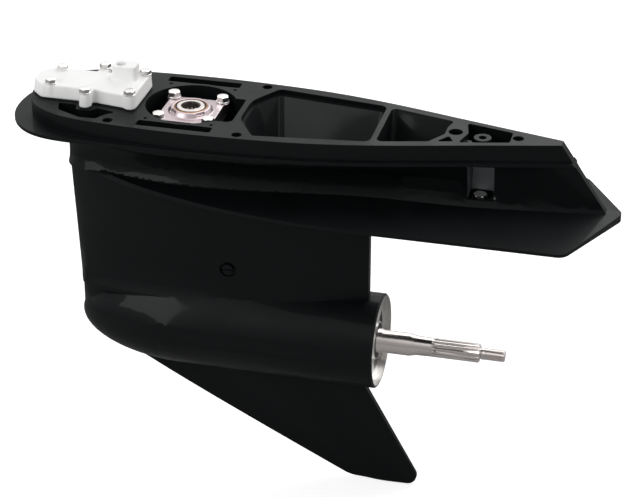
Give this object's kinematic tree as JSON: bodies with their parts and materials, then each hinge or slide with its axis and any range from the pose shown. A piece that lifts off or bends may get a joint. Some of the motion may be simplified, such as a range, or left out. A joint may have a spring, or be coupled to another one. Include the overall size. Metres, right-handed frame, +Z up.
{
  "type": "outboard lower unit",
  "caption": "Marine drive lower unit: black gearcase with ventilation plate and skeg, hollow vertical shaft, bevel gears, dog clutch and splined propeller shaft.",
  "frame": {"origin": "where the vertical driveshaft's axis crosses the deck, the face that bolts up to the leg", "axes": "+X aft along the propeller shaft, +Y to starboard, +Z up along the driveshaft"},
  "size_m": [0.7857, 0.22, 0.5705],
  "materials": {
    "gearcase_paint": "gloss black marine enamel over cast aluminium",
    "cover_paint": "white enamel over a small aluminium casting",
    "gasket_sheet": "pressed gasket sheet",
    "bolt_steel": "stainless steel, lightly brushed",
    "retainer_cast": "cast and machined",
    "seal_bronze": "bronze-coloured seal case",
    "bearing_steel": "ground bearing steel",
    "shaft_steel": "turned stainless steel",
    "gear_steel": "case-hardened gear steel",
    "bush_bronze": "bearing bronze",
    "shim_steel": "ground shim",
    "carrier_cast": "machined aluminium",
    "tab_metal": "dark sacrificial casting",
    "seal_rubber": "nitrile rubber"
  },
  "bodies": {
    "gearcase": {"gearcase_housing": "gearcase_paint", "front_cover": "cover_paint", "front_cover_gasket": "gasket_sheet", "front_cover_bolts": "bolt_steel", "bearing_retainer": "retainer_cast", "retainer_bolts": "bolt_steel", "bearing_shim": "shim_steel", "driveshaft_seal": "seal_bronze", "driveshaft_bearing_cup": "bearing_steel", "pinion_bearing": "bearing_steel", "forward_bearing_cup": "bearing_steel", "reverse_bearing_race": "bearing_steel", "shift_bush": "bush_bronze", "bearing_carrier": "carrier_cast", "carrier_o_rings": "seal_rubber", "carrier_needle_bearing": "bearing_steel", "carrier_ring_nut": "carrier_cast", "propeller_shaft_seals": "seal_rubber", "oil_level_plug": "bolt_steel", "oil_drain_plug": "bolt_steel", "oil_plug_gaskets": "seal_rubber"},
    "vertical_shaft": {"driveshaft": "shaft_steel", "driveshaft_bearing_cone": "bearing_steel", "driveshaft_bearing_rollers": "bearing_steel", "pinion_gear": "gear_steel", "pinion_nut": "bolt_steel"},
    "forward_gear_group": {"forward_gear": "gear_steel", "forward_gear_bush": "bush_bronze", "forward_bearing_cone": "bearing_steel", "forward_bearing_rollers": "bearing_steel"},
    "reverse_gear_group": {"reverse_gear": "gear_steel", "reverse_gear_bush": "bush_bronze", "reverse_bearing_balls": "bearing_steel"},
    "output_shaft": {"propeller_shaft": "shaft_steel", "reverse_thrust_washer": "bush_bronze"},
    "clutch": {"clutch_dog": "gear_steel", "clutch_cross_pin": "shaft_steel", "clutch_pin_spring": "bearing_steel", "clutch_plunger": "shaft_steel"},
    "spool": {"shift_spool": "gear_steel"},
    "shift_rod": {"shift_shaft": "shaft_steel", "shift_crank": "gear_steel"},
    "tab": {"trim_tab": "tab_metal", "trim_tab_bolt": "bolt_steel"}
  },
  "joints": [
    {"name": "driveshaft_spin", "type": "hinge", "parent": "gearcase", "child": "vertical_shaft", "pos_m": [0, 0, 0], "axis": [0, 0, 1], "continuous": true},
    {"name": "forward_gear_spin", "type": "hinge", "parent": "gearcase", "child": "forward_gear_group", "pos_m": [-0.03, 0, -0.3135], "axis": [1, 0, 0], "continuous": true},
    {"name": "reverse_gear_spin", "type": "hinge", "parent": "gearcase", "child": "reverse_gear_group", "pos_m": [0.03, 0, -0.3135], "axis": [1, 0, 0], "continuous": true},
    {"name": "propeller_shaft_spin", "type": "hinge", "parent": "gearcase", "child": "output_shaft", "pos_m": [0.2, 0, -0.3135], "axis": [1, 0, 0], "continuous": true},
    {"name": "clutch_slide", "type": "slide", "parent": "output_shaft", "child": "clutch", "axis": [1, 0, 0], "range_m": [-0.0055, 0.0055]},
    {"name": "spool_slide", "type": "slide", "parent": "gearcase", "child": "spool", "axis": [1, 0, 0], "range_m": [-0.0055, 0.0055]},
    {"name": "shift_shaft_turn", "type": "hinge", "parent": "gearcase", "child": "shift_rod", "pos_m": [-0.096, 0.014, 0], "axis": [0, 0, 1], "range_deg": [-22.5, 22.5]},
    {"name": "trim_tab_turn", "type": "hinge", "parent": "gearcase", "child": "tab", "pos_m": [0.377, 0, -0.1], "axis": [0, 0, 1], "range_deg": [-15, 15]}
  ],
  "couplings": [
    {"joint": "forward_gear_spin", "follows": "driveshaft_spin", "ratio": 0.5},
    {"joint": "reverse_gear_spin", "follows": "driveshaft_spin", "ratio": -0.5},
    {"joint": "spool_slide", "follows": "clutch_slide", "ratio": 1},
    {"joint": "shift_shaft_turn", "follows": "clutch_slide", "rad_per_m": 71.39}
  ]
}
